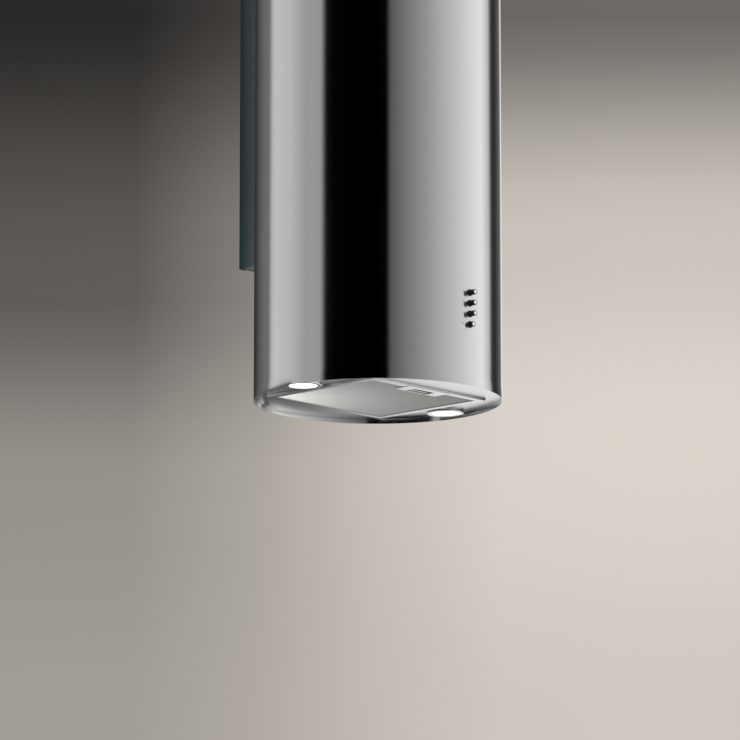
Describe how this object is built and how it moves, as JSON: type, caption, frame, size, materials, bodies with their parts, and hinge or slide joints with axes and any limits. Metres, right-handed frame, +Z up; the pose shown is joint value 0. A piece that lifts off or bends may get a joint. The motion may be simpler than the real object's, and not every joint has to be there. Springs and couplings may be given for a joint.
{
  "type": "range hood",
  "caption": "Wall-hung cylindrical range hood with a hinged grease filter, halogen lamps, push buttons, centrifugal fan and duct spigot.",
  "frame": {"origin": "centre of the four wall fixing holes, on the wall plane", "axes": "+Z up, +Y into the wall, -Y towards the cook, +X to the cook's right when facing the wall"},
  "size_m": [0.4299, 0.4878, 0.9],
  "materials": {
    "body_steel": "brushed round the body",
    "panel_steel": "satin",
    "bezel_chrome": "polished",
    "lamp_glass": "frosted and lit",
    "reflector": "polished",
    "button_chrome": "polished",
    "black_plastic": "moulded",
    "filter_aluminium": "expanded mesh",
    "galvanised": "zinc coated",
    "spine_paint": "semi-gloss powder coat",
    "bracket_zinc": "zinc plated",
    "scroll_plastic": "moulded",
    "wheel_plastic": "moulded",
    "machined_steel": "ground",
    "lamination": "stacked sheet",
    "winding": "enamelled wire",
    "grey_plastic": "moulded",
    "ceramic_white": "glazed ceramic",
    "board": "circuit board"
  },
  "bodies": {
    "hood": {"bottom_panel": "panel_steel", "box_lid": "galvanised", "button_guide": "black_plastic", "cable_gland": "black_plastic", "capacitor": "grey_plastic", "capacitor_clip": "galvanised", "control_board": "board", "electrical_case": "grey_plastic", "electrical_cover": "grey_plastic", "fan_scroll_left": "scroll_plastic", "fan_scroll_right": "scroll_plastic", "filter_seats": "galvanised", "flap_pins": "bracket_zinc", "hanger_bar": "galvanised", "hanger_fasteners": "bracket_zinc", "inlet_mouths": "scroll_plastic", "lamp_bezel_left": "bezel_chrome", "lamp_bezel_right": "bezel_chrome", "lamp_bulbs": "lamp_glass", "lamp_cans": "galvanised", "lamp_holders": "ceramic_white", "lamp_lens_left": "lamp_glass", "lamp_lens_right": "lamp_glass", "lamp_reflectors": "reflector", "lamp_transformer": "grey_plastic", "lid_screws": "bracket_zinc", "motor_bearings": "machined_steel", "motor_box": "galvanised", "motor_bracket": "galvanised", "motor_can": "galvanised", "outer_cylinder": "body_steel", "outlet_duct": "scroll_plastic", "outlet_spigot": "scroll_plastic", "panel_angles": "galvanised", "rear_carrier": "galvanised", "spine": "spine_paint", "spine_cap": "spine_paint", "stator": "lamination", "stator_windings": "winding", "switch_bank": "black_plastic", "switch_bracket": "galvanised", "terminal_block": "black_plastic", "top_hoop": "galvanised", "wall_bracket": "bracket_zinc"},
    "impeller": {"fan_wheel": "wheel_plastic", "motor_shaft": "machined_steel", "rotor": "lamination"},
    "grease_filter": {"filter_frame": "panel_steel", "filter_face": "filter_aluminium", "filter_core": "filter_aluminium", "grip_plate": "panel_steel", "pivot_pins": "bracket_zinc", "latch_springs": "bracket_zinc"},
    "latch": {"filter_latch": "panel_steel"},
    "light_switch": {"light_button": "button_chrome"},
    "speed_switch_1": {"speed_button_1": "button_chrome"},
    "speed_switch_2": {"speed_button_2": "button_chrome"},
    "speed_switch_3": {"speed_button_3": "button_chrome"},
    "front_flap": {"flap_front": "black_plastic"},
    "rear_flap": {"flap_rear": "black_plastic"}
  },
  "joints": [
    {"name": "filter_hinge", "type": "hinge", "parent": "hood", "child": "grease_filter", "pos_m": [0, -0.14997, -0.6874], "axis": [1, 0, 0], "range_deg": [0, 55]},
    {"name": "latch_slide", "type": "slide", "parent": "grease_filter", "child": "latch", "axis": [0, -1, 0], "range_m": [0, 0.0045], "deforming": ["latch_springs"]},
    {"name": "light_press", "type": "slide", "parent": "hood", "child": "light_switch", "axis": [0, 1, 0], "range_m": [-0.004, 0.0005]},
    {"name": "speed_press_1", "type": "slide", "parent": "hood", "child": "speed_switch_1", "axis": [0, 1, 0], "range_m": [0, 0.004], "stiffness_N_per_m": 300, "springref_m": -0.002},
    {"name": "speed_press_2", "type": "slide", "parent": "hood", "child": "speed_switch_2", "axis": [0, 1, 0], "range_m": [0, 0.004], "stiffness_N_per_m": 300, "springref_m": -0.002},
    {"name": "speed_press_3", "type": "slide", "parent": "hood", "child": "speed_switch_3", "axis": [0, 1, 0], "range_m": [0, 0.004], "stiffness_N_per_m": 300, "springref_m": -0.002},
    {"name": "fan_spin", "type": "hinge", "parent": "hood", "child": "impeller", "pos_m": [0, -0.31453, -0.51], "axis": [1, 0, 0], "continuous": true},
    {"name": "front_flap_hinge", "type": "hinge", "parent": "hood", "child": "front_flap", "pos_m": [0, -0.264, -0.3309], "axis": [-1, 0, 0], "range_deg": [0, 80]},
    {"name": "rear_flap_hinge", "type": "hinge", "parent": "hood", "child": "rear_flap", "pos_m": [0, -0.256, -0.3309], "axis": [1, 0, 0], "range_deg": [0, 80]}
  ]
}
